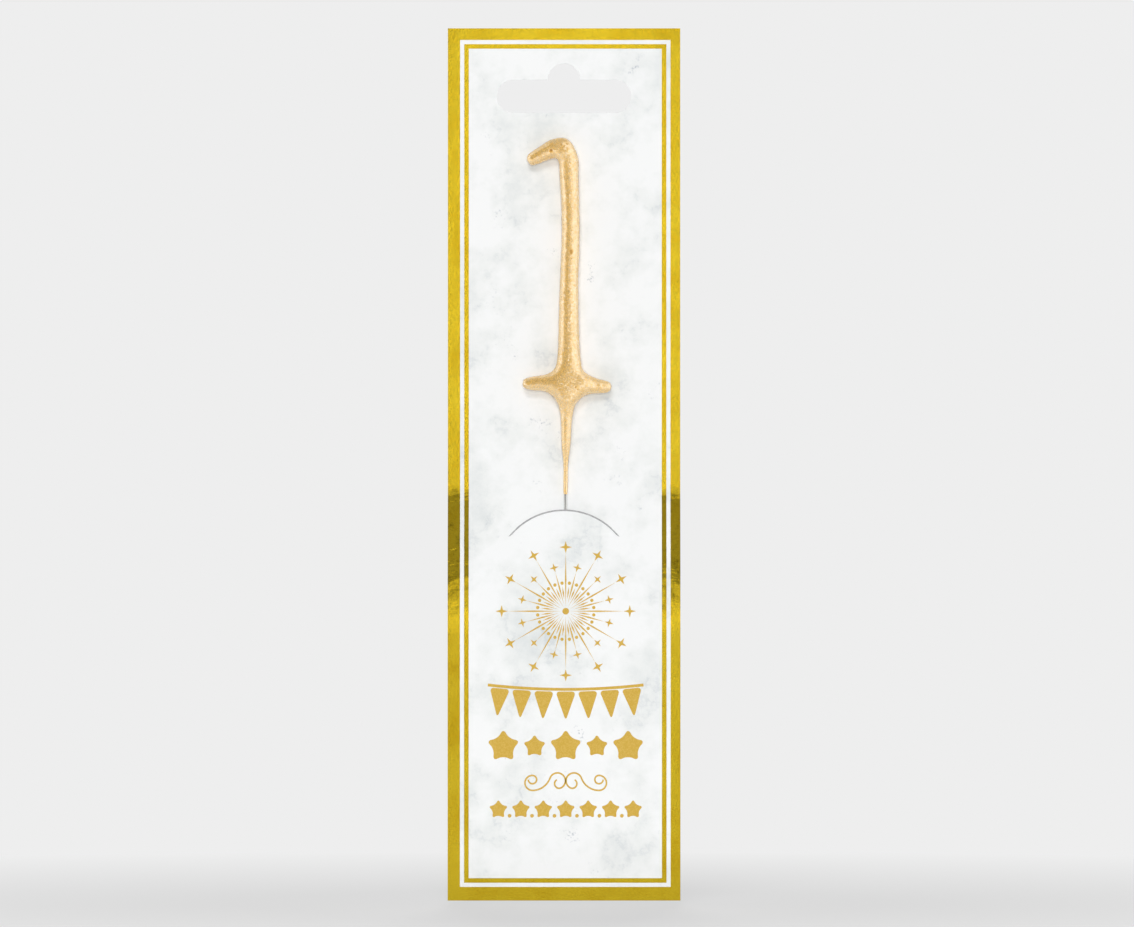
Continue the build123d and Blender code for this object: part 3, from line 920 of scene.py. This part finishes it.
shown = add(
    tree, "ShaderNodeMath", {0: rays.outputs["Is Glossy Ray"], 1: rays.outputs["Is Transmission Ray"]},
    operation="MAXIMUM",
)
shown = add(
    tree, "ShaderNodeMath", {0: shown.outputs[0], 1: rays.outputs["Diffuse Depth"]},
    operation="SUBTRACT", use_clamp=True,
)
strength = add(
    tree, "ShaderNodeMapRange", {"Value": shown.outputs[0], "To Min": TENT_FILL, "To Max": wall.outputs[0]}
)
strength = add(
    tree, "ShaderNodeMath", {0: strength.outputs[0], 1: in_opening.outputs[0]}, operation="MULTIPLY"
)
strength = add(
    tree, "ShaderNodeMath", {0: strength.outputs[0], 1: rays.outputs["Is Camera Ray"]}, operation="MAXIMUM"
)
tent = add(tree, "ShaderNodeBackground", {"Color": linear(TENT_PALE), "Strength": strength.outputs[0]})
add(tree, "ShaderNodeOutputWorld", {"Surface": tent.outputs[0]})

# Matt pale studio paper: it takes the object's shadow near it, and fades into the tent further off.
PAPER_PALE = "#E4E4E4"
FLOOR_RADIUS = 0.35
FLOOR_GAP = 1.0 * MM
FADE_START = 0.08
FADE_END = 0.34
SHADOW_SHARE = 0.45
studio_paper, tree, place = new_material("matt_pale_studio_paper")
rays = add(tree, "ShaderNodeLightPath")
direct = add(
    tree, "ShaderNodeMath", {0: rays.outputs["Is Camera Ray"], 1: rays.outputs["Is Glossy Ray"]},
    operation="MAXIMUM",
)
direct = add(
    tree, "ShaderNodeMath", {0: direct.outputs[0], 1: rays.outputs["Is Transmission Ray"]},
    operation="MAXIMUM",
)
flat_place = add(tree, "ShaderNodeVectorMath", {0: place, 1: (1, 1, 0)}, operation="MULTIPLY")
distance = add(tree, "ShaderNodeVectorMath", {0: flat_place.outputs[0]}, operation="LENGTH")
fade = add(
    tree, "ShaderNodeMapRange",
    {
        "Value": distance.outputs["Value"], "From Min": FADE_START, "From Max": FADE_END,
        "To Min": 1 - SHADOW_SHARE, "To Max": 1.0,
    },
)
fade = add(tree, "ShaderNodeMath", {0: direct.outputs[0], 1: fade.outputs[0]}, operation="MULTIPLY")
paper = add(tree, "ShaderNodeBsdfDiffuse", {"Color": linear(PAPER_PALE)})
glow = add(tree, "ShaderNodeEmission", {"Color": linear(TENT_PALE), "Strength": 1.0})
floor_look = add(tree, "ShaderNodeMixShader", {0: fade.outputs[0], 1: paper.outputs[0], 2: glow.outputs[0]})
add(tree, "ShaderNodeOutputMaterial", {"Surface": floor_look.outputs[0]})
bm = bmesh.new()
bmesh.ops.create_circle(bm, cap_ends=True, segments=96, radius=FLOOR_RADIUS)
bmesh.ops.translate(bm, vec=(0, 0, cad_box[0].z - FLOOR_GAP), verts=bm.verts)
floor = finished(bm, "paper_floor", [studio_paper])


def soft_box(name, azimuth, elevation, distance, width, height, brightness, mirrored=True):
    """Hangs a soft box facing the card's middle. One that isn't mirrored lights matt surfaces only."""
    lamp = bpy.data.lights.new(name, "AREA")
    lamp.shape = "RECTANGLE"
    lamp.size = width
    lamp.size_y = height
    # a brightness of 1 looks white in a mirror
    lamp.energy = brightness * math.pi * width * height
    box = bpy.data.objects.new(name, lamp)
    turn = math.radians(azimuth)
    lift = math.radians(elevation)
    away = Vector((math.sin(turn) * math.cos(lift), -math.cos(turn) * math.cos(lift), math.sin(lift)))
    box.location = Vector((0, 0, camera.location.z)) + away * distance
    box.rotation_euler = away.to_track_quat("Z", "Y").to_euler()
    box.visible_camera = False
    box.visible_glossy = mirrored
    scene.collection.objects.link(box)


soft_box("front_box", 0, 2.6, 2.4, 0.16, 0.26, 1.65)
soft_box("upper_box", 0, 9.6, 2.4, 0.16, 0.32, 0.9)
soft_box("low_box", 0, -5.4, 2.4, 0.16, 0.42, 1.08)
soft_box("roof_box", 0, 25, 2.4, 0.4, 0.8, 0.24)
soft_box("key_box", -5, 28, 2.0, 0.6, 0.5, 12.2, mirrored=False)
soft_box("axis_box", 0, 2, 2.45, 0.6, 0.6, 24, mirrored=False)
soft_box("back_box", 180, 20, 2.0, 0.6, 0.6, 18, mirrored=False)
